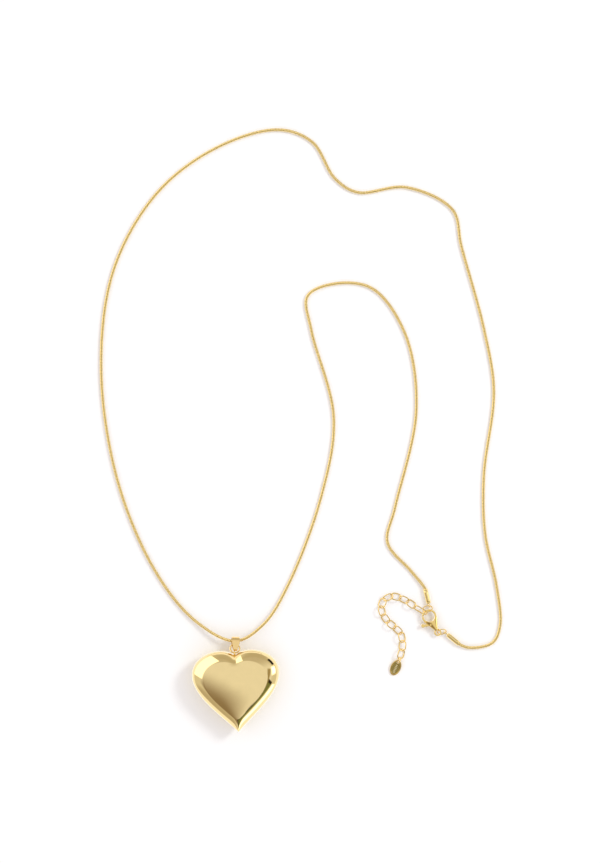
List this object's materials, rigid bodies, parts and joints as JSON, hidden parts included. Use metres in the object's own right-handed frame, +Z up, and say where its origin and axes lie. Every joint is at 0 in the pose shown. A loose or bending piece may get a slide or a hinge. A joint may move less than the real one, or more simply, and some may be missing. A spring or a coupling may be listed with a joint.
{
  "type": "pendant necklace",
  "caption": "Long round snake chain with a puffed heart pendant on a folded bail, a lobster clasp, and an extender of oval links with an oval tag.",
  "frame": {"origin": "middle of the chain's loop, on the surface that the necklace lies on", "axes": "+Z up from the surface, +Y from the pendant towards the far end of the loop, +X towards the clasp"},
  "size_m": [0.1607, 0.2407, 0.0128],
  "materials": {
    "gold_wire": "polished, gold plated",
    "gold_snake_chain": "satin to polished, gold plated",
    "gold_sheet": "mirror polished, gold plated",
    "gold_casting": "polished, gold plated",
    "spring_steel": "drawn wire"
  },
  "bodies": {
    "chain": {"snake_chain": "gold_snake_chain", "end_cap_clasp_side": "gold_casting", "end_cap_extender_side": "gold_casting"},
    "bail": {"bail": "gold_sheet"},
    "pendant_ring": {"pendant_ring": "gold_wire"},
    "heart": {"heart_eye": "gold_wire", "heart_front_shell": "gold_sheet", "heart_back_shell": "gold_sheet"},
    "clasp_ring": {"clasp_ring": "gold_wire"},
    "clasp": {"clasp_body": "gold_casting", "clasp_rivet": "gold_casting", "clasp_spring": "spring_steel"},
    "lever": {"clasp_lever": "gold_casting"},
    "extender_ring": {"extender_ring": "gold_wire"},
    "link_01": {"extender_link_01": "gold_wire"},
    "link_02": {"extender_link_02": "gold_wire"},
    "link_03": {"extender_link_03": "gold_wire"},
    "link_04": {"extender_link_04": "gold_wire"},
    "link_05": {"extender_link_05": "gold_wire"},
    "link_06": {"extender_link_06": "gold_wire"},
    "link_07": {"extender_link_07": "gold_wire"},
    "link_08": {"extender_link_08": "gold_wire"},
    "link_09": {"extender_link_09": "gold_wire"},
    "link_10": {"extender_link_10": "gold_wire"},
    "link_11": {"extender_link_11": "gold_wire"},
    "link_12": {"extender_link_12": "gold_wire"},
    "link_13": {"extender_link_13": "gold_wire"},
    "tag_ring": {"tag_ring": "gold_wire"},
    "tag": {"tag": "gold_casting"}
  },
  "joints": [
    {"name": "bail_on_chain", "type": "hinge", "parent": "chain", "child": "bail", "pos_m": [-0.0257, -0.1, 0.0042], "axis": [-0.9986, 0.0523, 0], "range_deg": [-50, 80]},
    {"name": "ring_in_bail", "type": "hinge", "parent": "bail", "child": "pendant_ring", "pos_m": [-0.02577, -0.10119, 0.0047], "axis": [-0.9986, -0.0523, 0], "range_deg": [-30, 5]},
    {"name": "heart_on_ring", "type": "hinge", "parent": "pendant_ring", "child": "heart", "pos_m": [-0.026, -0.10453, 0.0064], "axis": [-0.9986, -0.0523, 0], "range_deg": [-30, 45]},
    {"name": "clasp_ring_in_cap_eye", "type": "hinge", "parent": "chain", "child": "clasp_ring", "pos_m": [0.05824, -0.09711, 0.0011], "axis": [-0.7682, 0.6402, 0], "range_deg": [-2, 5]},
    {"name": "clasp_on_ring", "type": "hinge", "parent": "clasp_ring", "child": "clasp", "pos_m": [0.05555, -0.09781, 0.0017], "axis": [-0.4772, 0.8788, 0], "range_deg": [-1, 7]},
    {"name": "lever_on_rivet", "type": "hinge", "parent": "clasp", "child": "lever", "pos_m": [0.05212, -0.0937, 0.0017], "axis": [0, 0, -1], "range_deg": [0, 9], "stiffness_Nm_per_rad": 0.001},
    {"name": "extender_ring_in_cap_eye", "type": "hinge", "parent": "chain", "child": "extender_ring", "pos_m": [0.05166, -0.08615, 0.0011], "axis": [0, 0, 1], "range_deg": [-2, 4]},
    {"name": "first_link_on_ring", "type": "hinge", "parent": "extender_ring", "child": "link_01", "pos_m": [0.05028, -0.08917, 0.00183], "axis": [0, 0, 1], "range_deg": [-10, 10]},
    {"name": "link_02_on_link_01", "type": "hinge", "parent": "link_01", "child": "link_02", "pos_m": [0.04582, -0.08649, 0.00128], "axis": [0, 0, 1], "range_deg": [-14, 30]},
    {"name": "link_03_on_link_02", "type": "hinge", "parent": "link_02", "child": "link_03", "pos_m": [0.04307, -0.08449, 0.00128], "axis": [0, 0, -1], "range_deg": [-30, 30]},
    {"name": "link_04_on_link_03", "type": "hinge", "parent": "link_03", "child": "link_04", "pos_m": [0.04001, -0.083, 0.00128], "axis": [0, 0, 1], "range_deg": [-30, 25]},
    {"name": "link_05_on_link_04", "type": "hinge", "parent": "link_04", "child": "link_05", "pos_m": [0.03672, -0.08218, 0.00128], "axis": [0, 0, -1], "range_deg": [-20, 30]},
    {"name": "link_06_on_link_05", "type": "hinge", "parent": "link_05", "child": "link_06", "pos_m": [0.03361, -0.08356, 0.00128], "axis": [0, 0, 1], "range_deg": [-30, 24]},
    {"name": "link_07_on_link_06", "type": "hinge", "parent": "link_06", "child": "link_07", "pos_m": [0.03223, -0.08667, 0.00128], "axis": [0, 0, -1], "range_deg": [-26, 30]},
    {"name": "link_08_on_link_07", "type": "hinge", "parent": "link_07", "child": "link_08", "pos_m": [0.03316, -0.08994, 0.00128], "axis": [0, 0, 1], "range_deg": [-30, 30]},
    {"name": "link_09_on_link_08", "type": "hinge", "parent": "link_08", "child": "link_09", "pos_m": [0.03516, -0.09269, 0.00128], "axis": [0, 0, -1], "range_deg": [-30, 30]},
    {"name": "link_10_on_link_09", "type": "hinge", "parent": "link_09", "child": "link_10", "pos_m": [0.03784, -0.09478, 0.00128], "axis": [0, 0, 1], "range_deg": [-30, 30]},
    {"name": "link_11_on_link_10", "type": "hinge", "parent": "link_10", "child": "link_11", "pos_m": [0.04029, -0.09714, 0.00128], "axis": [0, 0, -1], "range_deg": [-30, 30]},
    {"name": "link_12_on_link_11", "type": "hinge", "parent": "link_11", "child": "link_12", "pos_m": [0.04111, -0.10044, 0.00128], "axis": [0, 0, 1], "range_deg": [-30, 30]},
    {"name": "link_13_on_link_12", "type": "hinge", "parent": "link_12", "child": "link_13", "pos_m": [0.04075, -0.10382, 0.00128], "axis": [0, 0, -1], "range_deg": [-30, 30]},
    {"name": "tag_ring_on_last_link", "type": "hinge", "parent": "link_13", "child": "tag_ring", "pos_m": [0.03993, -0.10712, 0.00128], "axis": [0, 0, 1], "range_deg": [-30, 30]},
    {"name": "tag_on_ring", "type": "hinge", "parent": "tag_ring", "child": "tag", "pos_m": [0.03912, -0.10895, 0.0011], "axis": [0, 0, -1], "range_deg": [-25, 25]}
  ]
}
